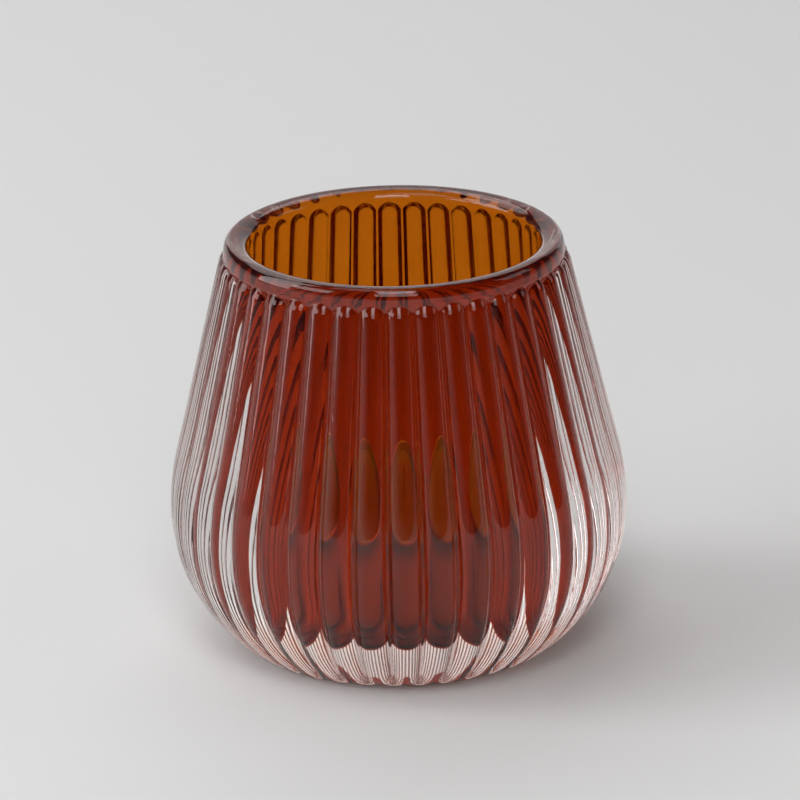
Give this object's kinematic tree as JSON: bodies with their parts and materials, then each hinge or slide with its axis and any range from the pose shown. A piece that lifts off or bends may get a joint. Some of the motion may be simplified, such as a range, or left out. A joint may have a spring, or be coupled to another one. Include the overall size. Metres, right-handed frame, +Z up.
{
  "type": "tealight holder",
  "caption": "Bulbous ribbed glass tealight holder with a thick clear foot, an amber coated cavity and a tealight that lifts out.",
  "frame": {"origin": "middle of the foot, on the table", "axes": "+Z up along the axis of the holder"},
  "size_m": [0.09, 0.09, 0.083],
  "materials": {
    "clear_glass": "fire-polished clear pressed glass",
    "amber_lacquer": "glossy transparent lacquer",
    "cup_aluminium": "drawn sheet, satin",
    "wax": "soft paraffin",
    "tin": "tinned sheet",
    "cotton": "waxed braid"
  },
  "bodies": {
    "holder": {"glass_body": "clear_glass", "amber_coat": "amber_lacquer"},
    "tealight": {"tealight_cup": "cup_aluminium", "tealight_wax": "wax", "wick_holder": "tin", "wick": "cotton"}
  },
  "joints": [
    {"name": "tealight_lift", "type": "slide", "parent": "holder", "child": "tealight", "axis": [0, 0, 1], "range_m": [0, 0.078]}
  ]
}
